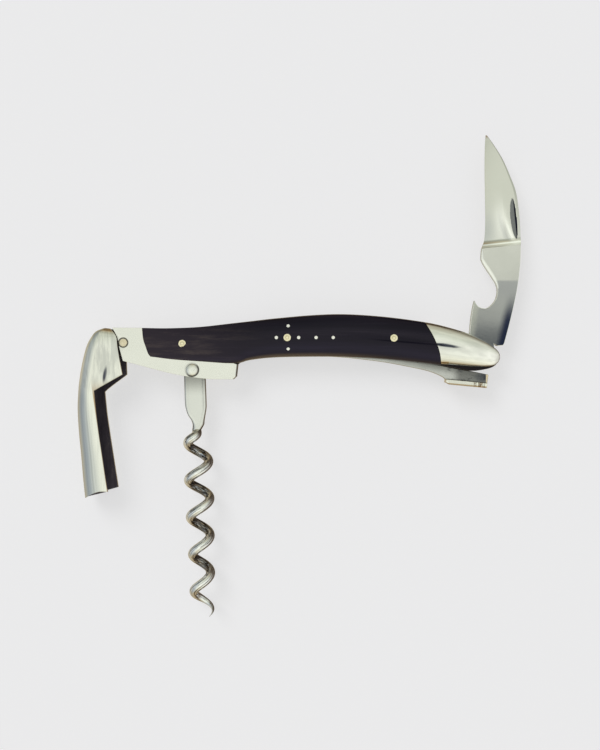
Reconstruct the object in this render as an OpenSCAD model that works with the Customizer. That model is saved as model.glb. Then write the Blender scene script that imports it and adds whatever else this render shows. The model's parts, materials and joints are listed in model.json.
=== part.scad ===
// Sommelier knife: handle, bottle lever, worm and foil-cutter blade.
// +X runs along the handle to the blade, +Y away from the viewer, +Z up.
// The origin is the axis of the centre rivet, half way through the handle.

/* [Handle stack] */
// Clear width between the two liners
gap = 3.2; // [3.1:0.05:3.4]
// Thickness of each liner
liner_t = 1.0; // [0.8:0.1:1.1]
// Thickness of the flat bolster at the lever end
bolster_t = 1.9; // [1.8:0.05:1.9]
// Extra dome of the horn scales, added to the drawn section
dome_extra = 0; // [-0.3:0.1:0.3]

/* [Lever] */
// Outer width of the lever across its cheeks
lever_w = 12.6; // [12.4:0.1:13]
// Thickness of each cheek
cheek_t = 1.5; // [1.3:0.1:1.5]
// Thickness of the web that joins the cheeks
web_t = 1.7; // [1.4:0.1:1.8]
// How much further the rear cheek reaches over the handle than the front one
rear_reach = 1.8; // [0:0.2:2]

/* [Worm] */
// Diameter of the worm's wire
wire_d = 2.85; // [2.4:0.05:2.9]
// Outside diameter of the helix at its top
helix_d = 9.0; // [8.4:0.1:9]
// Outside diameter of the helix at its last turn
helix_end_d = 8.2; // [7.6:0.1:8.4]
// Distance between turns
pitch = 11.45; // [11:0.05:11.6]
// Number of turns
turns = 5.0; // [4.5:0.1:5]
// Width of the flat shank
shank_w = 6.6; // [6.2:0.1:6.8]
// Lean of the worm from the vertical, towards the blade
worm_lean = 1.8; // [1:0.1:2.5]

/* [Blade] */
// Thickness of the tang and the flat part of the blade
tang_t = 2.9; // [2.6:0.1:3]
// Thickness of the ground part at its spine
spine_t = 2.0; // [1.6:0.1:2.4]
// Thickness left at the cutting edge
edge_t = 0.25; // [0.2:0.05:0.4]

/* [Pins] */
// Radius of the brass scale pins
pin_r = 1.1; // [1:0.05:1.2]
// Radius of the small silver pins
cross_pin_r = 0.5; // [0.4:0.05:0.6]
// Radius of the lever's pivot pin
lever_pin_r = 1.15; // [1:0.05:1.2]
// Radius of the worm's pivot rivet
worm_pin_r = 1.3; // [1.1:0.05:1.4]
// Radius of the blade's pivot pin
blade_pin_r = 1.4; // [1.2:0.05:1.6]
// Radial clearance between a moving tang and its pin
fit = 0.05; // [0.03:0.01:0.08]

/* [Hidden] */
$fn = 48;

// Distances from the middle plane to each layer's faces
liner_in = gap / 2;
liner_out = liner_in + liner_t;
bolster_out = liner_out + bolster_t;
cheek_out = lever_w / 2;
cheek_in = cheek_out - cheek_t;
tang_gap = 0.1;
lever_tang_t = gap - 2 * tang_gap;
worm_tang_t = gap - 2 * tang_gap;
proud = 0.05;

// Pivot axes and pin places, as [x, z]
lever_axis = [-50.1, -1.5];
worm_axis = [-29.1, -9.8];
blade_axis = [60.5, -4.8];
centre_at = [0, 0];
left_at = [-32.1, -1.8];
right_at = [32.5, -0.15];
cross_at = [[0.3, 3.5], [0.3, -3.4], [-3.3, 0], [3.5, 0], [8.8, 0], [14, 0]];

// A smooth curve through the points p, with n steps between neighbours
function hermite(a, b, c, d, t) = 0.5 * (2 * b + (c - a) * t + (2 * a - 5 * b + 4 * c - d) * t * t
    + (3 * b - a - 3 * c + d) * t * t * t);
function curve(p, n = 5) = let (last = len(p) - 1)
    [for (i = [0:last - 1], k = [0:n - 1])
        hermite(p[max(i - 1, 0)], p[i], p[i + 1], p[min(i + 2, last)], k / n), p[last]];
function reverse(p) = [for (i = [len(p) - 1:-1:0]) p[i]];
function polar(c, r, a) = c + r * [cos(a), sin(a)];
function arc(c, r, a, b, n = 12) = [for (i = [0:n]) polar(c, r, a + (b - a) * i / n)];

// Extrudes an outline drawn in X and Z from y0 to y1
module slab(y0, y1) {
    translate([0, y1, 0]) rotate([90, 0, 0]) linear_extrude(y1 - y0) children();
}

// A round bar or bore along Y, at c = [x, z]
module bar(c, r, y0, y1) {
    translate([c.x, y1, c.y]) rotate([90, 0, 0]) cylinder(r = r, h = y1 - y0);
}

// Turns a front piece into its twin on the far side
module rear() {
    mirror([0, 1, 0]) children();
}

// Lofts a closed solid through a list of rings with equal point counts
module loft(rings) {
    n = len(rings[0]);
    m = len(rings);
    sides = [for (i = [0:m - 2], j = [0:n - 1]) each
        let (a = i * n + j, b = i * n + (j + 1) % n)
        [[a, b, a + n], [b, b + n, a + n]]];
    ends = [[for (j = [n - 1:-1:0]) j], [for (j = [0:n - 1]) (m - 1) * n + j]];
    polyhedron([for (r = rings) each r], concat(sides, ends), convexity = 6);
}

// ---------------------------------------------------------------- handle outline
// Cross-sections of the horn and end bolster, left to right, each as
// [top x, top z, bottom x, bottom z, rim y at the top, rim y at the bottom, crown y]
sections = [
    [-46.9, 3.02, -44.6, -5.3, 4.0, 4.5, 4.45],
    [-44.4, 3.0, -41.9, -5.7, 4.0, 4.5, 4.45],
    [-36.6, 2.9, -35.0, -6.6, 3.9, 4.5, 4.55],
    [-27.0, 3.3, -26.0, -7.25, 3.7, 4.5, 4.9],
    [-17.5, 4.35, -16.4, -7.8, 3.6, 4.4, 5.4],
    [-11.0, 5.1, -11.6, -6.75, 3.5, 3.8, 5.7],
    [-4.0, 5.9, -4.0, -5.95, 3.5, 3.5, 5.95],
    [8.0, 6.95, 8.0, -5.7, 3.5, 3.5, 6.1],
    [18.0, 7.2, 18.0, -5.85, 3.5, 3.5, 6.2],
    [30.0, 6.4, 30.0, -6.5, 3.5, 3.5, 6.2],
    [42.0, 4.8, 42.0, -7.75, 3.5, 3.5, 6.1],
    [49.0, 3.25, 49.3, -8.8, 3.5, 3.5, 6.0],
    [55.5, 1.25, 56.0, -10.1, 3.4, 3.4, 5.6],
    [60.5, -1.1, 60.5, -9.7, 3.3, 3.3, 4.8],
    [63.2, -2.8, 63.2, -8.85, 3.1, 3.1, 4.0],
    [64.6, -4.1, 64.6, -7.5, 3.0, 3.0, 3.4],
    [65.2, -5.3, 65.2, -6.3, 2.9, 2.9, 3.0]];
form = curve(sections, 3);
handle_top = [for (s = form) [s[0], s[1]]];
handle_bottom = [for (s = form) [s[2], s[3]]];

// Steel at the lever end: the knuckle end, and the strip that runs under the horn
lever_end = curve([[-50.2, -7.1], [-51.3, -3.1], [-52.0, 0.2], [-53.5, 3.05]]);
horn_left = curve([[-44.35, 3.0], [-44.0, -0.4], [-43.2, -2.85], [-42.55, -4.7], [-41.8, -5.75]], 3);
strip_bottom = curve([[-16.7, -12.7], [-24.9, -12.55], [-34.6, -11.1], [-46.3, -8.1],
    [-50.2, -7.1]]);
strip_end = [[-15.3, -8.2], [-15.7, -11.8]];
// The handle's lower edge: the part over the strip, and the open arch beyond it
strip_top = [for (p = handle_bottom) if (p.x > -41.5 && p.x < -16.3) p];
arch = [for (p = handle_bottom) if (p.x > -16.3) p];

// Joint between horn and end bolster, drawn past both edges of the handle
horn_right = curve([[40.9, 7.6], [42.0, 4.8], [43.9, 1.45], [45.3, -1.55], [46.35, -4.55],
    [46.95, -8.1], [47.1, -10.5]], 3);
// Lower edge of the end bolster, stepped up from the liner's edge beyond a short tab
nose_edge = [[49.3, -10.5], [49.3, -8.15], [56.1, -8.8], [61.9, -8.85], [63.3, -8.5], [64.3, -7.8],
    [65.5, -6.4], [70, -6.4]];

module lever_bolster_outline() {
    polygon(concat(lever_end, horn_left, strip_top, strip_end, strip_bottom));
}

module liner_outline() {
    polygon(concat(lever_end, handle_top, reverse(arch), strip_end, strip_bottom));
}

module horn_outline() {
    polygon(concat([[-44.35, 9]], horn_left, [[-41.0, -10.5], [47.1, -10.5]], reverse(horn_right),
        [[40.9, 9]]));
}

module end_bolster_outline() {
    polygon(concat(horn_right, nose_edge, [[70, 9], [40.9, 9]]));
}

// Domed front half of the horn and end bolster, in front of the liner
dome_steps = 12;
function crown(s, t) = let (rim = (s[4] + s[5]) / 2 + (s[4] - s[5]) / 2 * t)
    rim + (s[6] + dome_extra - (s[4] + s[5]) / 2) * sqrt(1 - pow(abs(t), 2.4));
function half_ring(s) = concat(
    [[s[2], -liner_out, s[3]]],
    [for (i = [0:dome_steps]) let (t = -cos(180 * i / dome_steps), k = (1 + t) / 2)
        [s[2] + (s[0] - s[2]) * k, -crown(s, t), s[3] + (s[1] - s[3]) * k]],
    [[s[0], -liner_out, s[1]]]);
module domed_form() {
    loft([for (s = form) half_ring(s)]);
}

// ---------------------------------------------------------------- liners
module front_liner() {
    color("silver") difference() {
        slab(-liner_out, -liner_in) liner_outline();
        bar(lever_axis, lever_pin_r, -liner_out - 1, -liner_in + 1);
        bar(worm_axis, worm_pin_r, -liner_out - 1, -liner_in + 1);
        bar(blade_axis, blade_pin_r, -liner_out - 1, -liner_in + 1);
        for (c = [centre_at, left_at, right_at]) bar(c, pin_r, -liner_out - 1, -liner_in + 1);
    }
}

module rear_liner() {
    rear() front_liner();
}

// ---------------------------------------------------------------- horn scales
// Height of the handle's surface above the middle plane at a pin's place
function section_at(x) = [for (k = [0:6]) lookup(x, [for (s = form) [(s[0] + s[2]) / 2, s[k]]])];
function surface_y(c) = let (s = section_at(c.x)) crown(s, 2 * (c.y - s[3]) / (s[1] - s[3]) - 1);

module front_scale() {
    color([0.13, 0.12, 0.14]) difference() {
        intersection() {
            domed_form();
            slab(-10, 0) horn_outline();
        }
        for (c = [centre_at, left_at, right_at]) bar(c, pin_r, -10, 0);
        for (c = cross_at) bar(c, cross_pin_r, -10, 0);
    }
}

module rear_scale() {
    rear() front_scale();
}

// ---------------------------------------------------------------- bolsters
// The lever pin sits in a shallow recess, which shows as a dark ring around it
recess_r = lever_pin_r + 0.4;
recess_depth = 0.35;
module front_lever_bolster() {
    color([0.86, 0.86, 0.82]) difference() {
        slab(-bolster_out, -liner_out) lever_bolster_outline();
        bar(lever_axis, lever_pin_r, -bolster_out - 1, -liner_out + 1);
        bar(lever_axis, recess_r, -bolster_out - 1, -bolster_out + recess_depth);
        bar(worm_axis, worm_pin_r, -bolster_out - 1, -liner_out + 1);
    }
}

module rear_lever_bolster() {
    rear() front_lever_bolster();
}

// The blade's pin ends inside the end bolsters, so their bores are blind
blade_pin_end = liner_out + 1.2;
module front_end_bolster() {
    color([0.82, 0.83, 0.8]) difference() {
        intersection() {
            domed_form();
            slab(-10, 0) end_bolster_outline();
        }
        bar(blade_axis, blade_pin_r, -blade_pin_end, 0);
    }
}

module rear_end_bolster() {
    rear() front_end_bolster();
}

// ---------------------------------------------------------------- back spring
spring_left = concat([[-48.3, 2.9]], arc(lever_axis, 3.35, 58, 5, 6));
spring_under_left = [[-45.6, -2.6], [-44.0, -4.1], [-38, -4.9], [-33.5, -5.4], [-13.5, -5.4], [-4, -5.2]];
spring_under_right = curve([[4, -5.3], [16.1, -5.9], [23.1, -6.6], [30.1, -7.5], [37.1, -8.8],
    [43.5, -10.2], [47.3, -11.7], [48.8, -12.75]], 3);
spring_end = [[61.5, -13.95], [61.9, -11.3]];
spring_over_right = curve([[57, -10.3], [51.1, -9.25], [43.5, -7.7], [30, -5.0], [16, -3.2],
    [8, -1.4], [3.6, 1.2], [0, 2.35]], 3);
spring_over_left = [[-4, 2.6], [-7.3, 3.0], [-8.4, 5.2], [-11, 4.95], [-17.5, 4.2],
    [-27, 3.15], [-36.6, 2.75], [-44.4, 2.85]];

module back_spring() {
    color([0.7, 0.71, 0.7]) difference() {
        slab(-liner_in, liner_in)
            polygon(concat(spring_left, spring_under_left, spring_under_right, spring_end,
                spring_over_right, spring_over_left));
        for (c = [centre_at, left_at]) bar(c, pin_r, -5, 5);
    }
}

// Cap across the spring's free end, with a row of filed nicks near its tip
cap_half_w = 3.0;
cap_t = 1.45;
nick_r = 0.35;
module spring_end_plate() {
    cap_top = [[48.8, -12.75], [61.5, -13.95]];
    color([0.8, 0.8, 0.77]) difference() {
        slab(-cap_half_w, cap_half_w)
            polygon([cap_top[0], cap_top[1], cap_top[1] + [-0.4, -cap_t], [50.2, -14.35],
                [48.7, -13.6]]);
        for (i = [0:2]) for (side = [-1, 1])
            translate([60.2 - 1.3 * i, side * cap_half_w, -14.5])
                cylinder(r = nick_r, h = 4, center = true);
    }
}

// ---------------------------------------------------------------- pins
module lever_pivot_pin() {
    color([0.83, 0.78, 0.62])
        bar(lever_axis, lever_pin_r, -bolster_out - proud, bolster_out + proud);
}

// Shaft flush on the far side, with a low domed head on the near side
head_r = 1.8;
head_h = 0.32;
module worm_pivot_rivet() {
    dome_r = (head_r * head_r + head_h * head_h) / (2 * head_h);
    color([0.8, 0.8, 0.78]) {
        bar(worm_axis, worm_pin_r, -bolster_out, bolster_out);
        intersection() {
            translate([worm_axis.x, -bolster_out - head_h + dome_r, worm_axis.y])
                sphere(r = dome_r);
            bar(worm_axis, head_r, -bolster_out - 1, -bolster_out);
        }
    }
}

module blade_pivot_pin() {
    color([0.75, 0.75, 0.75]) bar(blade_axis, blade_pin_r, -blade_pin_end, blade_pin_end);
}

module through_pin(c) {
    color([0.85, 0.76, 0.5]) bar(c, pin_r, -surface_y(c) - proud, surface_y(c) + proud);
}

module centre_pin() {
    through_pin(centre_at);
}

module left_pin() {
    through_pin(left_at);
}

module front_right_pin() {
    color([0.85, 0.76, 0.5]) bar(right_at, pin_r, -surface_y(right_at) - proud, -liner_in);
}

module rear_right_pin() {
    rear() front_right_pin();
}

module front_cross_pins() {
    color([0.85, 0.85, 0.83])
        for (c = cross_at) bar(c, cross_pin_r, -surface_y(c) - proud, -liner_out);
}

module rear_cross_pins() {
    rear() front_cross_pins();
}

// ---------------------------------------------------------------- lever
// Back of the lever from the knuckle to the claw, and its free edges, as [x, z]
lever_back = curve([[-54.3, 2.8], [-57, 2.45], [-59.6, 0.6], [-61.5, -3.4], [-62.95, -8.6],
    [-64.0, -15], [-64.4, -22], [-64.0, -29.6], [-63.2, -38.4], [-62.15, -48.9]], 3);
claw = curve([[-62.15, -48.9], [-60.6, -48.4], [-58.6, -47.2], [-56.7, -46.7], [-54.65, -46.95]], 3);
arm_edge = [[-54.65, -46.95], [-55.4, -42.2], [-56.3, -36.0], [-57.3, -29.5], [-58.1, -23.3],
    [-58.9, -17.2], [-58.7, -16.1]];
knuckle_edge = curve([[-50.2, -11.25], [-50.95, -7.2], [-51.65, -2.8], [-52.05, 0.1],
    [-53.0, 1.6], [-54.3, 2.8]], 3);

module cheek(y0, y1, reach) {
    edge = [for (p = arm_edge) p + [reach, 0]];
    slab(y0, y1) polygon(concat(lever_back, claw, edge, knuckle_edge));
}

// Band of thickness web_t along the inside of the lever's back
module web() {
    spine = [for (p = lever_back) if (p.x < -57) p];
    last = len(spine) - 1;
    inner = [for (i = [0:last])
        let (d = spine[min(i + 1, last)] - spine[max(i - 1, 0)])
        spine[i] + web_t * [-d.y, d.x] / norm(d)];
    slab(-cheek_in, cheek_in) polygon(concat(spine, reverse(inner)));
}

eye_r = 3.2;
module lever_tang() {
    difference() {
        slab(-lever_tang_t / 2, lever_tang_t / 2) union() {
            translate(lever_axis) circle(eye_r);
            polygon([lever_axis + [0, eye_r], [-57.6, 1.0], [-59.6, -1.5], [-61.4, -7.5],
                [-61.8, -10], lever_axis - [0, eye_r]]);
        }
        bar(lever_axis, lever_pin_r + fit, -5, 5);
    }
}

module lever() {
    color([0.78, 0.77, 0.72]) {
        cheek(-cheek_out, -cheek_in, 0);
        cheek(cheek_in, cheek_out, rear_reach);
        web();
        lever_tang();
    }
}

// ---------------------------------------------------------------- worm
// Drawn hanging straight down from the pivot, then leaned towards the blade.
// The shank's middle lies a little to the blade side of the pivot.
shank_offset = 0.5;
// How far the shank's two edges have drawn in at each height, as [z, left, right]
shank_taper = [[-9.8, 0, 0], [-11.8, 0.2, 0.05], [-13.9, 0.82, 0.43], [-15.6, 1.8, 0.75],
    [-17.0, 2.12, 0.95]];
helix_start = -18.6;
helix_phase = 310;
lead_in = 120;
wire_r = wire_d / 2;
coil_top_r = (helix_d - wire_d) / 2;
coil_end_r = (helix_end_d - wire_d) / 2;
turn_steps = 22;
wire_sides = 12;

function ease(t) = let (c = min(1, max(0, t))) c * c * (3 - 2 * c);
// Point of the helix's centre line after a degrees of turn
function coil(a) = let (r = (coil_top_r + (coil_end_r - coil_top_r) * a / (360 * turns))
        * sin(90 * ease(a / lead_in)))
    [r * cos(helix_phase - a), r * sin(helix_phase - a), helix_start - pitch * a / 360];
// The wire thins to a point over its last three quarters of a turn
function coil_wire(a) = wire_r * max(0.08, sin(90 * min(1, (360 * turns - a) / 270)));

// One ring across the path at p, heading d, with half sizes a (sideways) and b
function ring(p, d, a, b) = let (t = d / norm(d), u = [-t.z, 0, t.x] / norm([-t.z, 0, t.x]),
        v = cross(u, t))
    [for (j = [0:wire_sides - 1]) let (w = 360 * j / wire_sides)
        p + a * cos(w) * u + b * sin(w) * v];

module shank_outline() {
    edges = curve(shank_taper, 3);
    left = [for (e = edges) [-shank_w / 2 + e[1], e[0]]];
    right = [for (e = edges) [shank_w / 2 - e[2], e[0]]];
    polygon(concat([[-shank_w / 2, 0]], left, reverse(right), [[shank_w / 2, 0]]));
}

module shank_and_coil() {
    // The core of the flat shank, on its way to the round wire
    taper = [for (e = [for (k = [2:len(shank_taper) - 1]) shank_taper[k]])
        ring([(e[1] - e[2]) / 2, 0, e[0]], [0, 0, -1], (shank_w - e[1] - e[2]) / 2 - 0.05,
            worm_tang_t / 2 - 0.03)];
    step = 360 / turn_steps;
    coils = [for (a = [0:step:360 * turns])
        ring(coil(a), coil(a + 2) - coil(a - 2), coil_wire(a), coil_wire(a))];
    loft(concat(taper, coils));
}

worm_eye_r = 3.95;
module worm() {
    color([0.7, 0.68, 0.64]) translate([worm_axis.x, 0, worm_axis.y]) rotate([0, -worm_lean, 0])
        difference() {
            union() {
                slab(-worm_tang_t / 2, worm_tang_t / 2) union() {
                    intersection() {
                        circle(worm_eye_r);
                        translate([shank_offset - shank_w / 2, 0]) square([20, 20]);
                    }
                    translate([shank_offset, 0]) shank_outline();
                }
                translate([shank_offset, 0, 0]) shank_and_coil();
            }
            bar([0, 0], worm_pin_r + fit, -5, 5);
        }
}

// ---------------------------------------------------------------- blade
// Tang, from the ground part down its back to the heel, round the pivot and up the front
blade_lower = concat(
    curve([[71.9, 28.9], [71.7, 22.7], [70.9, 16.0], [69.8, 10.3], [68.3, 3.9], [66.8, -1.7]], 3),
    [[66.4, -2.3], [64.7, -2.45], [63.6, -1.7], [63.8, -4.0]],
    arc(blade_axis, 4.55, -40, -155, 8),
    curve([[56.3, -6.0], [56.0, -2.0], [56.45, 4.7], [57.05, 8.85], [57.6, 11.5]], 3),
    curve([[58.5, 10.0], [59.4, 9.35], [61.3, 9.15], [63.2, 10.5], [64.3, 12.2], [64.75, 14.4],
        [64.3, 16.6], [62.9, 18.9], [61.3, 21.3], [59.9, 23.7], [59.8, 25.5], [59.95, 27.6]], 3));

// Ground part, as [edge x, edge z, spine x, spine z] from the shoulder to the point
grind = curve([[60.0, 26.8, 71.9, 28.2], [60.9, 31, 71.9, 32], [61.1, 36, 71.6, 37],
    [61.0, 44.6, 70.6, 44.6], [60.9, 50, 68.7, 50.0], [60.9, 55, 66.4, 55.2],
    [61.0, 59.5, 63.7, 59.6], [61.2, 62.7, 61.5, 62.6]], 3);

module ground_part() {
    last = len(grind) - 1;
    loft([for (i = [0:last]) let (g = grind[i], thin = 1 - 0.6 * i / last,
            e = edge_t / 2, s = spine_t / 2 * thin)
        [[g[0], -e, g[1]], [g[0], e, g[1]], [g[2], s, g[3]], [g[2], -s, g[3]]]]);
}

module blade() {
    color([0.78, 0.79, 0.77]) difference() {
        union() {
            slab(-tang_t / 2, tang_t / 2) polygon(blade_lower);
            ground_part();
        }
        bar(blade_axis, blade_pin_r + fit, -5, 5);
    }
}

front_liner();
rear_liner();
front_scale();
rear_scale();
front_lever_bolster();
rear_lever_bolster();
front_end_bolster();
rear_end_bolster();
back_spring();
spring_end_plate();
lever_pivot_pin();
worm_pivot_rivet();
blade_pivot_pin();
centre_pin();
left_pin();
front_right_pin();
rear_right_pin();
front_cross_pins();
rear_cross_pins();
lever();
worm();
blade();
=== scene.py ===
"""Looks of the folding waiters corkscrew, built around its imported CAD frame.

Lengths are in millimetres in the CAD frame until mesh() turns them into metres:
+X runs along the handle to the blade, +Y away from the viewer, +Z up, and the origin is
the axis of the centre rivet.
"""
import json
import math

import bmesh
import bpy
import numpy as np
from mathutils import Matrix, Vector
from numpy.linalg import norm


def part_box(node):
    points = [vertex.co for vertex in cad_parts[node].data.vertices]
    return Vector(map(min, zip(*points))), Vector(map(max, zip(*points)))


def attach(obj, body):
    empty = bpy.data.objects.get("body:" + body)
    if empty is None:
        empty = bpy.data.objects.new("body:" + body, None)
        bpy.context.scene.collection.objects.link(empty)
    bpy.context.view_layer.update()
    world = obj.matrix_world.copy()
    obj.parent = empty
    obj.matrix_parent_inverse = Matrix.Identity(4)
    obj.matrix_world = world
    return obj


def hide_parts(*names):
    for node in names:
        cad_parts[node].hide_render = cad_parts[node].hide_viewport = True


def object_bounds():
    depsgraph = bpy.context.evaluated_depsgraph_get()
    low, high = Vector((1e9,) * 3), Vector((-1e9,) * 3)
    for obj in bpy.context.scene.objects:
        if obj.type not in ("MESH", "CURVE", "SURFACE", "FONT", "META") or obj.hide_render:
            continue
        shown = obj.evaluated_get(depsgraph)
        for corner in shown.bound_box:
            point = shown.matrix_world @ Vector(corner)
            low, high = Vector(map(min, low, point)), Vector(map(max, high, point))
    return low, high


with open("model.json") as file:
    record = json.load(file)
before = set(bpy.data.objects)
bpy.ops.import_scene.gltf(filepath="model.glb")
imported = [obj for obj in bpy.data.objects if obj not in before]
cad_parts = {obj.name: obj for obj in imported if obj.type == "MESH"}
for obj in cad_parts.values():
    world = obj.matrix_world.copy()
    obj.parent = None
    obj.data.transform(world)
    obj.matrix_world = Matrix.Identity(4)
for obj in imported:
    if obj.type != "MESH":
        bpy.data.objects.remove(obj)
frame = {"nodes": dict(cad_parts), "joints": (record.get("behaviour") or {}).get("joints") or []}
cad_low, cad_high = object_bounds()

MM = 0.001
NODES = frame["nodes"]
PIVOT = {j["child"]: (j["pos_m"][0] / MM, j["pos_m"][2] / MM) for j in frame["joints"]}

# Distances from the middle plane, read off the CAD
LINER_IN = -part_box("front_liner")[1].y / MM
LINER_OUT = -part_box("front_liner")[0].y / MM
BOLSTER_OUT = -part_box("front_lever_bolster")[0].y / MM
# Thickness of the lever's cheeks and of the web between them
CHEEK_T = 1.5
WEB_T = 1.7
# Points closer than this, in metres, are one point
SAME_POINT = 1e-7


# ---- curves and meshes
def between(p, i, t):
    """The point at t from 0 to 1 after row i on the Catmull-Rom curve through the rows of p."""
    a, b, c, d = p[max(i - 1, 0)], p[i], p[i + 1], p[min(i + 2, len(p) - 1)]
    return 0.5 * (2 * b + (c - a) * t + (2 * a - 5 * b + 4 * c - d) * t * t
                  + (3 * b - a - 3 * c + d) * t ** 3)


def curve(points, steps):
    """The curve through the points, with the given steps between neighbours."""
    p = np.array(points, float)
    out = [between(p, i, k / steps) for i in range(len(p) - 1) for k in range(steps)]
    return np.array(out + [p[-1]])


def at(table, u):
    """The value of a table's curve at the real number u, counted in rows."""
    i = min(int(u), len(table) - 2)
    return between(np.array(table, float), i, u - i)


def ease(t):
    """A smooth step from 0 at 0 to 1 at 1."""
    t = min(1.0, max(0.0, t))
    return t * t * (3 - 2 * t)


def add(name, data):
    """A new object in the scene that holds the data."""
    thing = bpy.data.objects.new(name, data)
    bpy.context.scene.collection.objects.link(thing)
    return thing


def mesh(name, verts, faces, body, materials, face_material=None, replaces=(), marks=None):
    """A piece from points in millimetres, riding on a CAD body; marks is one vector for each point,
    which the shader reads."""
    data = bpy.data.meshes.new(name)
    data.from_pydata([tuple(float(c) * MM for c in v) for v in verts], [], faces)
    if marks is not None:
        layer = data.attributes.new("marks", "FLOAT_VECTOR", "POINT")
        layer.data.foreach_set("vector", np.array(marks, float).ravel())
    for m in materials:
        data.materials.append(m)
    if face_material is not None:
        data.polygons.foreach_set("material_index", face_material)
    data.update()
    tidy = bmesh.new()
    tidy.from_mesh(data)
    bmesh.ops.remove_doubles(tidy, verts=tidy.verts, dist=SAME_POINT)
    bmesh.ops.dissolve_degenerate(tidy, edges=tidy.edges, dist=SAME_POINT)
    bmesh.ops.recalc_face_normals(tidy, faces=tidy.faces)
    tidy.to_mesh(data)
    tidy.free()
    piece = add(name, data)
    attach(piece, body)
    if replaces:
        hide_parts(*replaces)
    return piece


def smooth(piece, degrees):
    """Smooth shading across edges flatter than the angle."""
    piece.data.polygons.foreach_set("use_smooth", [True] * len(piece.data.polygons))
    piece.data.set_sharp_from_angle(angle=math.radians(degrees))


def soften(piece, width, degrees=35):
    """Bevels the edges sharper than the angle, by the width in millimetres."""
    bevel = piece.modifiers.new("soft_edges", "BEVEL")
    bevel.width = width * MM
    bevel.segments = 3
    bevel.limit_method = "ANGLE"
    bevel.angle_limit = math.radians(degrees)


def grid_faces(rows, columns, closed=False, start=0):
    """Quads between consecutive rows of points; closed joins each row's two ends."""
    out = []
    for i in range(rows - 1):
        for j in range(columns if closed else columns - 1):
            a = start + i * columns + j
            b = start + i * columns + (j + 1) % columns
            out.append((a, b, b + columns, a + columns))
    return out


def end_caps(count, columns):
    """Faces over the first and the last row of the count of points."""
    return [tuple(range(columns)), tuple(range(count - 1, count - 1 - columns, -1))]


def cad_look(node, material, bevel=0.0):
    """Gives a CAD node its material, welded smooth shading and softened edges."""
    piece = NODES[node]
    piece.data.materials.clear()
    piece.data.materials.append(material)
    weld = piece.modifiers.new("weld", "WELD")
    weld.merge_threshold = 1e-6
    if bevel:
        soften(piece, bevel)
    by_angle(piece)
    even = piece.modifiers.new("even_normals", "WEIGHTED_NORMAL")
    even.keep_sharp = True


def by_angle(piece, degrees=50):
    """Smooth shading by angle as a modifier, for meshes that must not be edited."""
    if "smooth_by_angle" not in bpy.data.node_groups:
        group = bpy.data.node_groups.new("smooth_by_angle", "GeometryNodeTree")
        group.is_modifier = True
        for way in ("INPUT", "OUTPUT"):
            group.interface.new_socket("Geometry", in_out=way, socket_type="NodeSocketGeometry")
        g = Graph(group)
        enter = g.node("NodeGroupInput")[0]
        bend = g.node("GeometryNodeInputMeshEdgeAngle")[0]
        sharp = g.node("FunctionNodeCompare", {0: bend, 1: math.radians(degrees)})[0]
        soft = g.node("FunctionNodeBooleanMath", {0: sharp}, operation="NOT")[0]
        face = g.node("GeometryNodeSetShadeSmooth", {"Geometry": enter}, domain="FACE")
        edge = g.node("GeometryNodeSetShadeSmooth", {"Geometry": face[0], "Shade Smooth": soft},
                      domain="EDGE")
        g.node("NodeGroupOutput", {0: edge[0]})
    step = piece.modifiers.new("smooth_by_angle", "NODES")
    step.node_group = bpy.data.node_groups["smooth_by_angle"]


# ---- materials
class Graph:
    """Adds and links the nodes of a tree."""

    def __init__(self, tree):
        self.tree = tree

    def put(self, socket, value):
        """Links the socket to another one, or sets its value; colours get their alpha."""
        if isinstance(value, bpy.types.NodeSocket):
            self.tree.links.new(value, socket)
        elif socket.type == "RGBA" and len(value) == 3:
            socket.default_value = (*value, 1)
        else:
            socket.default_value = value

    def node(self, kind, inputs=None, **settings):
        """The outputs of a new node, whose inputs are given by name or number."""
        made = self.tree.nodes.new(kind if "Node" in kind else "ShaderNode" + kind)
        for key, value in settings.items():
            setattr(made, key, value)
        for key, value in (inputs or {}).items():
            self.put(made.inputs[key], value)
        return made.outputs

    def math(self, operation, a, b=0.5, c=0.5):
        return self.node("Math", {0: a, 1: b, 2: c}, operation=operation)[0]

    def times(self, a, b):
        return self.math("MULTIPLY", a, b)

    def plus(self, a, b):
        return self.math("ADD", a, b)

    def minus(self, a, b):
        return self.math("SUBTRACT", a, b)

    def mix(self, factor, a, b):
        inputs = {0: factor, 6: a, 7: b}
        return self.node("Mix", inputs, data_type="RGBA")[2]

    def split(self, vector):
        return self.node("SeparateXYZ", {0: vector})

    def vector(self, operation, a, b=(0, 0, 0)):
        return self.node("VectorMath", {0: a, 1: b}, operation=operation)

    def length(self, x, y):
        flat = self.node("CombineXYZ", {0: x, 1: y})[0]
        return self.vector("LENGTH", flat)["Value"]

    def ramp(self, value, stops):
        made = self.tree.nodes.new("ShaderNodeValToRGB")
        self.put(made.inputs[0], value)
        while len(made.color_ramp.elements) < len(stops):
            made.color_ramp.elements.new(0.5)
        for element, (place, colour) in zip(made.color_ramp.elements, stops):
            element.position = place
            element.color = (*colour, 1)
        return made.outputs[0]

    def span(self, value, low, high, from_low=0.0, from_high=1.0):
        inputs = {0: value, 1: from_low, 2: from_high, 3: low, 4: high}
        return self.node("MapRange", inputs)[0]


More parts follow.
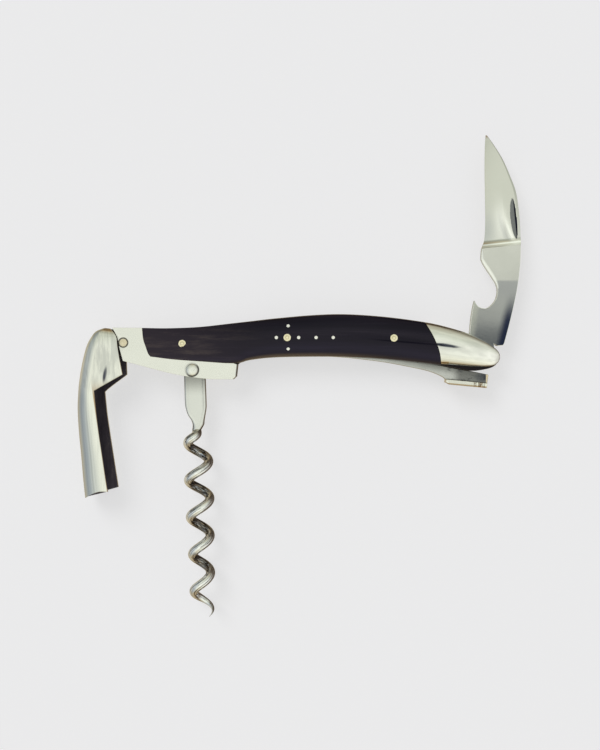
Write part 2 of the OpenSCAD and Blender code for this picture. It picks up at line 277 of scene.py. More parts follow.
class Shader(Graph):
    """A material whose nodes measure the piece in millimetres."""

    def __init__(self, name):
        self.material = bpy.data.materials.new(name)
        self.material.use_nodes = True
        super().__init__(self.material.node_tree)
        self.bsdf = self.tree.nodes["Principled BSDF"]
        own = self.node("TexCoord")
        self.coords, self.normal = own["Object"], own["Normal"]
        self.x, self.y, self.z = [self.times(part, 1 / MM) for part in self.split(self.coords)]
        self.colour = None
        self.flatten = None

    def lay(self, over, mask, strength=None):
        """Lays another colour over the piece's where the mask is 1."""
        if strength:
            mask = self.times(mask, strength)
        self.colour = self.mix(mask, self.colour, over)

    def noise(self, scale, stretch=(1, 1, 1), detail=4, rough=0.6, turn=0.0):
        """Noise in the piece's own space; stretch above 1 packs it tighter on that axis."""
        place = self.node("Mapping", {0: self.coords, "Rotation": (0, turn, 0), "Scale": stretch})
        return self.cloud(place[0], scale, detail, rough)

    def cloud(self, place, scale, detail, rough):
        return self.node("TexNoise", {"Vector": place, "Scale": scale, "Detail": detail,
                                      "Roughness": rough})[0]

    def bump(self, height, strength, distance):
        return self.node("Bump", {"Height": height, "Strength": strength, "Distance": distance})[0]

    def set(self, **inputs):
        for key, value in inputs.items():
            self.put(self.bsdf.inputs[key.replace("_", " ")], value)
        return self.material

    def rise(self, value, start, end):
        """A smooth step from 0 where the value is start to 1 where it is end."""
        return self.node("MapRange", {0: value, 1: start, 2: end},
                         interpolation_type="SMOOTHSTEP")[0]

    def spot(self, x, z, half_x, half_z, lean=0.0, soft=0.5):
        """A soft ellipse in X and Z, in millimetres; lean slants it by X per Z."""
        dz = self.minus(self.z, z)
        dx = self.minus(self.minus(self.x, x), self.times(dz, lean))
        far = self.length(self.math("DIVIDE", dx, half_x), self.math("DIVIDE", dz, half_z))
        return self.rise(far, 1.0, soft)

    def ring(self, x, z, radius, width):
        """A soft ring in X and Z, in millimetres."""
        far = self.length(self.minus(self.x, x), self.minus(self.z, z))
        return self.rise(self.math("ABSOLUTE", self.minus(far, radius)), width, 0.3 * width)

    def marks(self):
        """The vector stored on the mesh's points, and zero where there is none."""
        return self.node("Attribute", attribute_name="marks")["Vector"]

    def facing(self, axis):
        """The X, Y or Z part of the surface normal in the piece's own space."""
        return self.split(self.normal)[axis]

    def sideways(self, normal, amount):
        """The normal, turned by the amount towards its own side of the middle plane."""
        sign = self.math("SIGN", self.split(normal)["Y"])
        side = self.node("CombineXYZ", {1: sign})[0]
        mixed = self.node("Mix", {0: amount, 4: normal, 5: side}, data_type="VECTOR")
        return self.vector("NORMALIZE", mixed[1])[0]

    def crevice(self, reach):
        """1 deep in joints and recesses narrower than the reach in millimetres."""
        open_sky = self.node("AmbientOcclusion", {"Distance": reach * MM}, samples=8)
        return self.rise(open_sky["AO"], 0.80, 0.30)

    def edge_mask(self, radius):
        """1 on edges within the radius in millimetres, 0 elsewhere."""
        bevel = self.node("Bevel", {"Radius": radius * MM}, samples=6)
        dot = self.vector("DOT_PRODUCT", bevel[0], self.node("NewGeometry")["Normal"])["Value"]
        return self.span(dot, 1.0, 0.0, 0.80, 0.995)


# Colours painted as light: tan for edges mirroring the warm surroundings, near-black for shade in
# joints and recesses, navy for mirrored dark things
EDGE_TAN = (0.46, 0.34, 0.19)
SHADE_BLACK = (0.020, 0.017, 0.020)
NAVY = (0.020, 0.032, 0.085)


def steel(name, light, dark, rough, grain=(1, 1, 14), grain_depth=0.002, tone=None, edge=0.16,
          shade_reach=0.7, edge_sheen=EDGE_TAN, waves=0.0):
    """Steel: polishing lines, cloudy tone, small scratches, painted reflections on the edges and
    painted shade in the joints.
    """
    s = Shader(name)
    lines = s.noise(900, grain, detail=5, rough=0.7)
    clouds = s.noise(110, detail=3)
    scratches = s.noise(420, (0.4, 1, 5), detail=6, rough=0.75, turn=0.6)
    s.colour = s.ramp(clouds, [(0.3, dark), (0.72, light)])
    if tone:
        tone(s)
    # Painted reflection: the edges take a tan colour (bright on the blade), as if they mirrored the
    # surroundings
    s.lay(edge_sheen, s.edge_mask(edge), 0.75)
    # Painted shade: joints and recesses darken as far as they are closed in
    s.lay(SHADE_BLACK, s.crevice(shade_reach), 0.9)
    s.set(Base_Color=s.colour, Metallic=1.0)
    base = s.span(lines, rough * 0.8, rough * 1.25, 0.3, 0.7)
    scratched = s.plus(base, s.span(scratches, 0.0, 0.08, 0.64, 0.76))
    height = s.plus(s.times(lines, 0.6), s.times(scratches, 0.4))
    normal = s.bump(height, 0.18, grain_depth * MM)
    if waves:
        swell = s.noise(210, (0.7, 1, 1.5), detail=2)
        normal = s.node("Bump", {"Height": swell, "Strength": 0.6, "Distance": waves * MM,
                                 "Normal": normal})[0]
    if s.flatten:
        normal = s.sideways(normal, s.flatten)
    return s.set(Roughness=scratched, Normal=normal)


def liner_tone(s):
    """The liners' flat sides are painted dark as the shade inside the handle, near-black towards
    the nose; their narrow edges keep the steel's colour.
    """
    side = s.rise(s.math("ABSOLUTE", s.facing("Y")), 0.4, 0.8)
    s.lay((0.045, 0.043, 0.042), side)
    # Painted shade, deepest in the gap towards the nose
    s.lay(SHADE_BLACK, s.times(side, s.rise(s.x, 44, 47)))


def bolster_tone(s):
    """Painted shade rings the lever's pin and the rivet, thickest to the rivet's lower right as its
    painted shadow; the bolster's right end is painted navy as a dark reflection.
    """
    x, z = s.x, s.z
    px, pz = PIVOT["worm"]
    lower_right = s.rise(s.minus(x, z), px - pz - 1.6, px - pz + 1.2)
    rivet = s.times(s.ring(px, pz, RIVET_R + 0.07, 0.32), s.span(lower_right, 0.25, 0.95))
    lever = s.times(s.ring(*PIVOT["lever"], LEVER_PIN_R + 0.27, 0.26), 0.9)
    end = s.rise(s.minus(x, s.times(z, 0.1)), -14.75, -14.55)
    # Painted dark reflection on the end that faces right
    s.lay((0.045, 0.055, 0.11), end, 0.9)
    s.lay((0.055, 0.05, 0.045), s.math("MAXIMUM", rivet, lever))


def spring_tone(s):
    """The spring darkens towards its upper edge and its free end; near that end lies a navy painted
    reflection, and its end face is painted tan as a reflection.
    """
    x, z = s.x, s.z
    line = s.plus(z, s.times(x, 0.165))
    upper = s.times(s.rise(line, -3.4, -1.0), s.rise(x, 15, 50))
    s.lay((0.13, 0.13, 0.12), upper, 0.65)
    smear = s.times(s.rise(s.noise(260, (0.8, 1, 1.6), detail=4, turn=0.2), 0.48, 0.62),
                    s.rise(x, 47.5, 51.0))
    s.lay((0.14, 0.14, 0.14), s.rise(x, 50.0, 53.5), 0.8)
    s.lay((0.045, 0.045, 0.055), smear, 0.8)
    # Painted reflection: a navy patch near the free end
    dark_reflection = s.times(s.spot(60.0, -12.2, 3.3, 1.8, soft=0.2),
                    s.span(s.noise(600, detail=4), 0.45, 1.0, 0.4, 0.6))
    s.lay((0.03, 0.036, 0.06), dark_reflection, 0.95)
    # Painted reflection: the end face is tan
    s.lay((0.80, 0.68, 0.50), s.rise(x, 60.95, 61.25))


def cap_tone(s):
    """The end plate's lower edge is painted warm as a reflection of the tan below, and dirt sits in
    the nicks near its tip.
    """
    x, z = s.x, s.z
    level = s.plus(z, s.times(s.minus(x, 50.2), 0.0945))
    # Painted reflection along the lower edge
    s.lay((0.50, 0.38, 0.24), s.rise(level, -13.75, -14.05))
    dirt = s.times(s.rise(s.noise(900, detail=3), 0.52, 0.60), s.rise(x, 56.8, 57.4))
    s.lay((0.24, 0.14, 0.07), dirt, 0.8)


def nose_tone(s):
    """End bolster in painted reflections: a warm grey upper half over a bright lower half, a
    painted highlight at the tip, a tan lower tab and a dark streak.
    """
    # Painted reflection: surfaces facing up turn warm grey
    ripple = s.span(s.noise(240, (0.55, 1, 1.3), detail=2), -0.16, 0.16, 0.3, 0.7)
    up = s.rise(s.plus(s.facing("Z"), ripple), -0.10, 0.02)
    s.lay((0.79, 0.795, 0.77), up, 0.7)
    # Painted highlight towards the tip
    s.lay((0.99, 0.99, 0.96), s.rise(s.x, 58.0, 62.5))
    # Painted reflection: the step's side below the joint is tan
    tab = s.times(s.rise(s.x, 49.5, 49.2), s.rise(s.z, -7.25, -7.45))
    s.lay((0.66, 0.54, 0.37), tab)
    # Painted reflection of a dark thing across the middle
    streak = s.spot(48.0, -2.35, 3.9, 1.02, lean=-4.2, soft=0.4)
    s.lay((0.05, 0.06, 0.095), streak, 0.95)


def lever_tone(s):
    """Lever: a painted dark reflection down the knuckle, a painted blue-grey reflection over the
    face away from the free edge, and a dusky painted reflection beside that edge.
    """
    x, z = s.x, s.z
    cloud = s.noise(170, (2.6, 1, 0.5), detail=4)
    dull = s.times(s.rise(cloud, 0.42, 0.62), s.rise(z, -19, -11))
    s.lay((0.52, 0.53, 0.52), dull, 0.6)
    # Painted reflection: a dark streak down the knuckle
    streak = s.spot(-55.5, -11.3, 0.72, 3.2, lean=0.16, soft=0.35)
    s.lay((0.012, 0.016, 0.05), streak, 0.95)
    stripes = s.noise(330, (3.2, 1, 0.10), detail=3)
    s.lay((0.50, 0.52, 0.52), s.rise(stripes, 0.46, 0.66), 0.28)
    # Distance inside the near cheek's free edge, which runs straight down the arm
    edge_x, edge_z, lean = FREE_EDGE
    inside = s.minus(edge_x, s.plus(x, s.times(s.minus(z, edge_z), lean)))
    arm = s.times(s.rise(z, -12.0, -19.0), s.rise(s.y, 0.0, -2.0))
    # Painted reflection: blue-grey over the rounded face away from the free edge
    grey = s.times(s.rise(inside, 1.1, 3.4), arm)
    s.lay((0.575, 0.60, 0.61), grey, 0.8)
    # Painted reflection: tan-brown right along the free edge
    rim = s.times(s.rise(inside, 0.30, 0.05), arm)
    s.lay((0.40, 0.24, 0.11), rim, 0.85)


def blade_tone(s):
    """Blade: pale above the cap notch, grey below it, painted shade low on the tang, a blue-black
    painted reflection along the heel, a tan painted reflection at the point, and the painted
    highlights and shade of the marks that ground_shine() and tang_mesh() store."""
    x, z = s.x, s.z
    s.lay((0.575, 0.58, 0.535), s.rise(z, 30, 46), 0.55)
    low = s.rise(z, 18.1, 17.2)
    s.lay((0.47, 0.48, 0.495), low)
    light = s.times(s.rise(z, 16.0, 9.0), s.rise(z, 0.0, 6.0))
    s.lay((0.60, 0.61, 0.60), light, 0.7)
    # Painted shade where the tang goes into the handle
    s.lay((0.25, 0.265, 0.28), s.rise(z, 6.5, -1.5), 0.8)
    # Painted reflection: blue-black along the heel
    back = s.minus(x, s.times(z, 0.235))
    navy = s.times(s.rise(back, 63.7, 66.4), s.rise(z, 15.5, 5.0))
    s.lay(NAVY, navy, 0.95)
    front = s.rise(s.minus(x, s.times(z, 0.14)), 58.4, 56.3)
    s.lay((0.74, 0.75, 0.69), s.times(front, low), 0.85)
    # Painted highlights, dull reflections and shade stored on the mesh
    bright, dull, dark = s.split(s.marks())
    s.lay((0.98, 0.985, 0.965), bright)
    s.lay((0.42, 0.44, 0.46), dull)
    s.lay((0.20, 0.17, 0.13), dark)
    s.flatten = s.span(bright, 0.0, 0.85, 1.0, 1.9)
    # Painted reflection: tan at the point
    s.lay((0.30, 0.15, 0.07), s.rise(z, 61.4, 62.6), 0.7)


def worm_tone(s):
    """Worm: bright outside the coil and brown-black inside it as painted shade with painted
    blue-grey reflections, with drawing lines along it; painted reflections on the shank's sides and
    painted shade at its top.
    """
    depth = s.minus(PIVOT["worm"][1], s.z)
    from_axis = s.minus(s.x, PIVOT["worm"][0] + COIL_OFFSET)
    from_axis = s.minus(from_axis, s.times(depth, math.sin(WORM_LEAN)))
    radial = s.node("CombineXYZ", {0: from_axis, 1: s.y})[0]
    out = s.vector("DOT_PRODUCT", s.vector("NORMALIZE", radial)[0], s.normal)["Value"]
    along, patch = s.cloud(s.marks(), 2.5, 4, 0.65), s.cloud(s.marks(), 1.7, 5, 0.7)
    # Painted shade on the coil's inner faces
    coil = s.times(s.rise(depth, 18.6, 20.5), s.rise(depth, 69.5, 66.0))
    inner = s.times(s.rise(out, 0.15, -0.30), coil)
    scored = s.times(s.rise(along, 0.535, 0.60), s.rise(depth, 17.0, 19.5))
    s.lay((0.09, 0.085, 0.08), scored, 0.75)
    shank = s.rise(depth, 21.0, 18.0)
    # Painted reflections: brown on the shank's right side, navy on its left
    right = s.times(s.rise(s.facing("X"), 0.30, 0.75), shank)
    left = s.times(s.rise(s.facing("X"), -0.35, -0.8), shank)
    s.lay((0.20, 0.12, 0.07), right, 0.9)
    s.lay((0.06, 0.075, 0.14), left, 0.85)
    s.lay((0.68, 0.69, 0.66), shank, 0.7)
    # Painted shade at the shank's top, under the bolster
    s.lay((0.26, 0.26, 0.25), s.rise(depth, 8.5, 2.0), 0.8)
    # Painted shade inside the coil, mottled with painted blue-grey reflections
    brown = s.ramp(patch, [(0.38, (0.36, 0.28, 0.20)), (0.45, (0.14, 0.12, 0.105)),
                           (0.51, (0.30, 0.28, 0.26)), (0.59, (0.72, 0.76, 0.84))])
    brown = s.mix(s.times(s.rise(along, 0.49, 0.54), 0.8), brown, (0.05, 0.045, 0.045))
    s.lay(brown, inner)


def horn():
    """Near-black horn with fibres along the handle, brown flecks at one end, a brown rim painted as
    a reflection, a painted bluish reflection on its lower half, painted shade in its recesses, and
    a duller line where the swell of the handle turns away from the light."""
    s = Shader("dark_horn")
    fibre = s.noise(170, (0.14, 1, 3.0), detail=7, rough=0.65, turn=0.05)
    fine = s.noise(900, (0.10, 1, 3), detail=4, turn=0.03)
    fleck = s.noise(120, (0.22, 1, 1.7), detail=6, rough=0.7, turn=-0.22)
    s.colour = s.ramp(fibre, [(0.36, (0.0045, 0.0045, 0.0100)), (0.56, (0.0075, 0.0067, 0.0145)),
                              (0.74, (0.022, 0.017, 0.029))])
    up = s.facing("Z")
    # Painted reflection: bluish where the surface faces down
    blue = s.times(s.rise(up, -0.02, -0.28), s.span(fibre, 0.35, 1.0, 0.35, 0.65))
    s.lay((0.019, 0.017, 0.040), blue, 0.75)
    lever_end = s.rise(s.x, -2.0, -40.0)
    s.lay((0.040, 0.030, 0.040), lever_end, 0.6)
    brown = s.times(s.rise(fleck, 0.45, 0.66), lever_end)
    s.lay((0.120, 0.095, 0.082), brown, 0.8)
    # Painted reflection: a brown rim along the lower and upper edges
    lower = s.times(s.rise(up, -0.44, -0.80), s.rise(s.x, -20, -12))
    lower = s.times(lower, s.span(s.x, 1.0, 0.25, 8, 32))
    rim = s.math("MAXIMUM", lower, s.rise(up, 0.80, 0.98))
    s.lay((0.200, 0.150, 0.100), rim, 0.85)
    glint = s.spot(36, -1.4, 4.5, 1.25, lean=-11, soft=0.3)
    shine = s.minus(s.span(s.rise(up, 0.0, 0.3), 0.27, 0.20), s.times(glint, 0.19))
    # Painted shade in recesses
    s.lay((0.002, 0.002, 0.003), s.crevice(0.5), 0.8)
    rough = s.span(fine, 0.13, 0.24, 0.3, 0.7)
    height = s.plus(fibre, s.times(fine, 0.35))
    return s.set(Base_Color=s.colour, Roughness=rough, Normal=s.bump(height, 0.35, 0.015 * MM),
                 Specular_IOR_Level=shine, Specular_Tint=(0.92, 0.82, 1.0))


def pin_metal(name, light, dark, turned=()):
    """Polished rod ends: cloudy tarnish, fine turning marks and painted shade in the joint around
    them; the pins at the turned places also have a faint turned ring."""
    s = Shader(name)
    clouds = s.noise(1500, detail=3)
    fine = s.noise(5200, detail=5)
    s.colour = s.ramp(clouds, [(0.3, dark), (0.7, light)])
    for x, z in turned:
        s.lay((0.50, 0.42, 0.26), s.ring(x, z, 0.48, 0.20), 0.5)
    # Painted shade in the joint around the rod end
    s.lay((0.12, 0.08, 0.04), s.crevice(0.25), 0.6)
    return s.set(Base_Color=s.colour, Metallic=1.0, Normal=s.bump(fine, 0.4, 0.01 * MM),
                 Roughness=s.span(fine, 0.24, 0.44, 0.3, 0.7))


def dark_inside():
    """The channel's unpolished inside, blue-black and dull."""
    s = Shader("scale_inside")
    lines = s.noise(500, (1, 1, 0.2), detail=6, rough=0.7)
    tone = s.ramp(lines, [(0.3, (0.055, 0.046, 0.060)), (0.55, (0.100, 0.085, 0.105)),
                          (0.75, (0.19, 0.165, 0.165))])
    return s.set(Base_Color=tone, Metallic=0.1, Roughness=s.span(lines, 0.5, 0.75),
                 Normal=s.bump(lines, 0.5, 0.03 * MM), Specular_IOR_Level=0.2)


def nick_steel():
    """Inside of the thumbnail nick, grey on its slope and painted blue-black shade under its wall.
    """
    s = Shader("nick_steel")
    grain = s.noise(1400, (1, 1, 6), detail=5)
    line = s.plus(s.x, s.times(s.z, NICK_LEAN))
    # Painted shade under the steep wall
    wall = s.rise(line, 73.70, 73.95)
    tone = s.mix(wall, s.ramp(grain, [(0.3, (0.18, 0.19, 0.20)), (0.7, (0.27, 0.28, 0.295))]),
                 (0.015, 0.018, 0.045))
    return s.set(Base_Color=tone, Metallic=1.0, Roughness=s.span(grain, 0.35, 0.5),
                 Normal=s.bump(grain, 0.4, 0.01 * MM))


BIG_PINS = {"centre": (0, 0), "left": (-32.1, -1.8), "right": (32.5, -0.15)}
RIVET_R = 1.95
LEVER_PIN_R = 1.15
WORM_LEAN = math.radians(1.85)
# The shank's and the coil's middle, right of the worm's axis
SHANK_OFFSET = 0.5
COIL_OFFSET = 0.75
# A point of the free edge down the lever's arm, and how it leans, as X per downward Z
FREE_EDGE = (-58.1, -23.3, 0.1459)
# How the blade's thumbnail nick leans, as X per downward Z
NICK_LEAN = 0.099
MAT = {
    "bolster": steel("bolster_steel", (0.89, 0.895, 0.865), (0.85, 0.855, 0.825), 0.26,
                     grain_depth=0.0003, tone=bolster_tone, shade_reach=0.35),
    "cap": steel("cap_steel", (0.93, 0.93, 0.88), (0.86, 0.86, 0.80), 0.24, tone=cap_tone),
    "nose": steel("nose_steel", (0.91, 0.91, 0.885), (0.80, 0.805, 0.78), 0.08, tone=nose_tone,
                  waves=0.13, shade_reach=0.4),
    "lever": steel("lever_steel", (0.93, 0.93, 0.88), (0.86, 0.865, 0.82), 0.11,
                   grain=(14, 1, 1), tone=lever_tone, shade_reach=0.4),
    "liner": steel("liner_steel", (0.60, 0.58, 0.53), (0.50, 0.48, 0.44), 0.34, tone=liner_tone),
    "spring": steel("spring_steel", (0.68, 0.69, 0.69), (0.55, 0.555, 0.555), 0.28,
                    tone=spring_tone),
    "blade": steel("blade_steel", (0.71, 0.715, 0.69), (0.66, 0.665, 0.64), 0.13,
                   grain=(1, 1, 10), tone=blade_tone, edge=0.10, shade_reach=0.2,
                   edge_sheen=(0.80, 0.79, 0.72)),
    "worm": steel("worm_steel", (0.97, 0.98, 1.0), (0.91, 0.93, 0.95), 0.17, grain=(8, 8, 1),
                  grain_depth=0.005, tone=worm_tone, edge=0.05, shade_reach=0.3),
    "horn": horn(),
    "brass": pin_metal("pin_brass", (0.99, 0.94, 0.74), (0.88, 0.77, 0.50), BIG_PINS.values()),
    "silver": pin_metal("pin_silver", (0.99, 0.985, 0.96), (0.90, 0.89, 0.865)),
    "pivot": pin_metal("pivot_nickel", (0.84, 0.76, 0.60), (0.72, 0.64, 0.48)),
    "inside": dark_inside(),
    "nick": nick_steel(),
}

# ---- handle form
# Cross-sections of the horn and end bolster, lever end to nose, as in the CAD:
# top x, top z, bottom x, bottom z, rim y at the top, rim y at the bottom, crown y
SECTIONS = [
    (-46.9, 3.02, -44.6, -5.3, 4.0, 4.5, 4.45),
    (-44.4, 3.0, -41.9, -5.7, 4.0, 4.5, 4.45),
    (-36.6, 2.9, -35.0, -6.6, 3.9, 4.5, 4.55),
    (-27.0, 3.3, -26.0, -7.25, 3.7, 4.5, 4.9),
    (-17.5, 4.35, -16.4, -7.8, 3.6, 4.4, 5.4),
    (-11.0, 5.1, -11.6, -6.75, 3.5, 3.8, 5.7),
    (-4.0, 5.9, -4.0, -5.95, 3.5, 3.5, 5.95),
    (8.0, 6.95, 8.0, -5.7, 3.5, 3.5, 6.1),
    (18.0, 7.2, 18.0, -5.85, 3.5, 3.5, 6.2),
    (30.0, 6.4, 30.0, -6.5, 3.5, 3.5, 6.2),
    (42.0, 4.8, 42.0, -7.75, 3.5, 3.5, 6.1),
    (49.0, 3.25, 49.3, -8.8, 3.5, 3.5, 6.0),
    (55.5, 1.25, 56.0, -10.1, 3.4, 3.4, 5.6),
    (60.5, -1.1, 60.5, -9.7, 3.3, 3.3, 4.8),
    (63.2, -2.8, 63.2, -8.85, 3.1, 3.1, 4.0),
    (64.6, -4.1, 64.6, -7.5, 3.0, 3.0, 3.4),
    (65.2, -5.3, 65.2, -6.3, 2.9, 2.9, 3.0),
]
LAST_SECTION = len(SECTIONS) - 1
# The end bolster's lower edge steps up from the liner's, by this much at each section
NOSE_STEP = [0] * 11 + [0.6, 1.3, 0.85, 0.35, 0, 0]
# The joints at the horn's two ends, as (x, z) curves that run past its edges
HORN_LEFT = curve([(-44.5, 6.0), (-44.35, 3.0), (-44.0, -0.4), (-43.2, -2.85), (-42.55, -4.7),
                   (-41.8, -5.75), (-40.5, -8.0)], 8)
HORN_RIGHT = curve([(40.9, 7.6), (42.0, 4.8), (43.9, 1.45), (45.3, -1.55), (46.35, -4.55),
                    (46.95, -8.1), (47.1, -10.5)], 8)
# How square the dome across the handle is; 2 would be an ellipse
DOME = 2.4


def handle_point(u, t, step=0.0):
    """Point of the front surface at section u, and t from -1 (lower edge) to 1 (upper)."""
    s = at(SECTIONS, u)
    if step:
        s[3] += step * float(at([[v] for v in NOSE_STEP], u)[0])
    k = (1 + t) / 2
    rim = s[5] + (s[4] - s[5]) * k
    crown = rim + (s[6] - (s[4] + s[5]) / 2) * math.sqrt(max(0.0, 1 - abs(t) ** DOME))
    return np.array([s[2] + (s[0] - s[2]) * k, -crown, s[3] + (s[1] - s[3]) * k])


def joint_section(joint, t, low, high):
    """The section u at which the surface line t meets a joint curve, by halving."""
    order = np.argsort(joint[:, 1])
    for _ in range(40):
        middle = (low + high) / 2
        p = handle_point(middle, t)
        if p[0] < np.interp(p[2], joint[order, 1], joint[order, 0]):
            low = middle
        else:
            high = middle
    return (low + high) / 2


def surface_at(x, z):
    """Distance of the handle's domed surface from the middle plane, by Newton's method."""
    u = np.interp(x, [s[0] for s in SECTIONS], range(len(SECTIONS)))
    for _ in range(20):
        s, ahead = at(SECTIONS, u), at(SECTIONS, u + 0.01)
        k = (z - s[3]) / (s[1] - s[3])
        here = s[2] + (s[0] - s[2]) * k
        slope = (ahead[2] + (ahead[0] - ahead[2]) * k - here) / 0.01
        u += (x - here) / slope
    return -handle_point(u, 2 * k - 1)[1]


def handle_piece(name, side, start, end, columns, material, node, step=0.0):
    """A domed horn scale or end bolster between two joints, closed down to the liner."""
    across, chamfer = 44, 0.12
    lines = [-math.cos(math.pi * i / across) for i in range(across + 1)]
    verts = []
    spans = [(start(t), end(t)) for t in lines]
    inset = 0.1 / columns
    places = ([0.0, 0.0, inset] + [i / columns for i in range(1, columns)]
              + [1 - inset, 1.0, 1.0])
    for number, place in enumerate(places):
        edge = number in (1, len(places) - 2)
        wall = number in (0, len(places) - 1)
        for i, t in enumerate([lines[0]] + lines + [lines[-1]]):
            low, high = spans[min(max(i - 1, 0), across)]
            p = handle_point(low + (high - low) * place, t, step)
            if edge:
                p[1] += chamfer
            if wall or i in (0, across + 2):
                p[1] = -LINER_OUT
            verts.append((p[0], side * -p[1], p[2]))
    width = across + 3
    faces = grid_faces(len(places), width)
    faces += end_caps(len(verts), width)
    faces.append(tuple([i * width for i in range(len(places))]
                       + [i * width + width - 1 for i in reversed(range(len(places)))]))
    smooth(mesh(name, verts, faces, "root", [material], replaces=[node]), 50)


def build_handle():
    def horn_start(t):
        return joint_section(HORN_LEFT, t, 0.0, 2.5)

    def horn_end(t):
        return joint_section(HORN_RIGHT, t, 9.0, 12.5)

    for side, where in ((-1, "front"), (1, "rear")):
        handle_piece(f"{where}_horn", side, horn_start, horn_end, 110, MAT["horn"],
                     f"{where}_scale")
        handle_piece(f"{where}_nose", side, horn_end, lambda t: LAST_SECTION, 70, MAT["nose"],
                     f"{where}_end_bolster", step=1.0)


# ---- pin heads
SMALL_PINS = [(0.3, 3.5), (0.3, -3.4), (-3.3, 0), (3.5, 0), (8.8, 0), (14, 0)]
PIN_R = 1.1
SMALL_PIN_R = 0.45


def rounded_end(name, side, place, radius, proud, surface, material):
    """A low domed rod end lying on a surface given as a function of x and z."""
    rings, sides, sunk, buried = 7, 40, 0.06, 0.5
    verts = [(place[0], side * (surface(*place) + proud), place[1])]
    for i in range(1, rings + 1):
        r = radius * i / rings
        lift = proud * (1 - (i / rings) ** 3) - sunk * (i == rings)
        for j in range(sides):
            a = 2 * math.pi * j / sides
            x, z = place[0] + r * math.cos(a), place[1] + r * math.sin(a)
            verts.append((x, side * (surface(x, z) + lift), z))
    floor = side * (surface(*place) - buried)
    verts += [(v[0], floor, v[2]) for v in verts[-sides:]]
    faces = [(0, 1 + j, 1 + (j + 1) % sides) for j in range(sides)]
    faces += grid_faces(rings + 1, sides, closed=True, start=1)
    faces.append(tuple(range(len(verts) - sides, len(verts))))
    smooth(mesh(name, verts, faces, "root", [material]), 60)


def build_pin_heads():
    for side, where in ((-1, "front"), (1, "rear")):
        for pin, place in BIG_PINS.items():
            rounded_end(f"{where}_{pin}_head", side, place, PIN_R - 0.12, 0.14, surface_at,
                        MAT["brass"])
        for number, place in enumerate(SMALL_PINS):
            rounded_end(f"{where}_dot_{number}", side, place, SMALL_PIN_R, 0.09, surface_at,
                        MAT["silver"])
    rounded_end("rivet_head", -1, PIVOT["worm"], RIVET_R, 0.62, lambda x, z: BOLSTER_OUT - 0.02,
                MAT["bolster"])


# ---- worm
WIRE_R = 1.425
# Radius of the coil's centre line after each half turn
COIL_R = [3.05, 3.1, 3.18, 3.22, 3.12, 2.98, 2.82, 2.7, 2.6, 2.7, 3.1]
PITCH = 11.45
TURNS = 5.0
EYE_R = 3.95
SHANK_HALF_W = 3.3
SHANK_HALF_T = 1.5
# How far the shank's left and right edges have drawn in at each height, down to the wire
SHANK_TAPER = curve([(4, 0, 0), (0, 0, 0), (-6, 0, 0), (-9.8, 0, 0), (-11.8, 0.2, 0.05),
                     (-13.9, 0.82, 0.43), (-15.6, 1.8, 0.75), (-17.0, 2.12, 0.95),
                     (-18.6, 1.875, 1.875)], 6)
COIL_START = -18.6
COIL_PHASE = math.radians(310)
# Turn over which the wire leaves the axis, and over which it comes to a point
LEAD_IN = math.radians(120)
LEAD_OUT = math.radians(270)
SCORE = 0.07


def coil_centre(a):
    """Centre of the wire after a radians of turn below the coil's start."""
    lead = ease(a / LEAD_IN)
    r = np.interp(a / math.pi, range(len(COIL_R)), COIL_R) * math.sin(math.pi / 2 * lead)
    middle = SHANK_OFFSET + (COIL_OFFSET - SHANK_OFFSET) * lead
    return np.array([middle + r * math.cos(COIL_PHASE - a), r * math.sin(COIL_PHASE - a),
                     COIL_START - PITCH * a / (2 * math.pi)])


def worm_ring(centre, heading, half_a, half_b, square, sides, groove=0.0):
    """A ring across the path; square above 2 flattens its sides, groove scores them."""
    t = heading / norm(heading)
    u = np.array([-t[2], 0, t[0]])
    u /= norm(u)
    v = np.cross(t, u)
    out = []
    for j in range(sides):
        w = 2 * math.pi * j / sides
        c, s = math.cos(w), math.sin(w)
        c2 = math.copysign(abs(c) ** (2 / square), c)
        s2 = math.copysign(abs(s) ** (2 / square), s)
        cut = 1 - groove * (0.5 + 0.5 * math.cos(5 * w + 0.9)) ** 8
        out.append(centre + (half_a * c2 * u + half_b * s2 * v) * cut)
    return out


def lean_and_place(p):
    """Worm space (pivot at the origin, hanging straight down) to the CAD frame."""
    c, s = math.cos(WORM_LEAN), math.sin(WORM_LEAN)
    x, y, z = p
    px, pz = PIVOT["worm"]
    return (px + x * c - z * s, y, pz + x * s + z * c)


def build_worm():
    sides = 60
    rings = []
    for z, left, right in SHANK_TAPER[:-1]:
        low, high = left - SHANK_HALF_W, SHANK_HALF_W - right
        if z > 0:
            high = min(high, math.sqrt(max(0.01, EYE_R ** 2 - z * z)) - SHANK_OFFSET)
        f = ease((-12.5 - z) / 6)
        rings.append(worm_ring(np.array([SHANK_OFFSET + (low + high) / 2, 0, z]),
                               np.array([0, 0, -1.0]), (high - low) / 2,
                               SHANK_HALF_T + (WIRE_R - SHANK_HALF_T) * f, 6.5 - 4.2 * f, sides))
    full = 2 * math.pi * TURNS
    steps = int(TURNS * 64)
    for k in range(1, steps + 1):
        a = full * k / steps
        r = WIRE_R * max(0.06, math.sin(math.pi / 2 * min(1, (full - a) / LEAD_OUT)))
        heading = coil_centre(a + 0.02) - coil_centre(a - 0.02)
        rings.append(worm_ring(coil_centre(a), heading, r, r, 2, sides, SCORE * min(1, k / 20)))
    verts = [lean_and_place(p) for ring in rings for p in ring]
    faces = grid_faces(len(rings), sides, closed=True) + end_caps(len(verts), sides)
    # Round and along the wire, for the drawing lines
    marks, run = [], 0.0
    for i, ring in enumerate(rings):
        if i:
            run += norm(np.mean(ring, axis=0) - np.mean(rings[i - 1], axis=0))
        marks += [(2 * math.cos(w), 2 * math.sin(w), 0.09 * run)
                  for w in (2 * math.pi * j / sides for j in range(sides))]
    smooth(mesh("worm_wire", verts, faces, "worm", [MAT["worm"]],
                replaces=["worm"], marks=marks), 55)


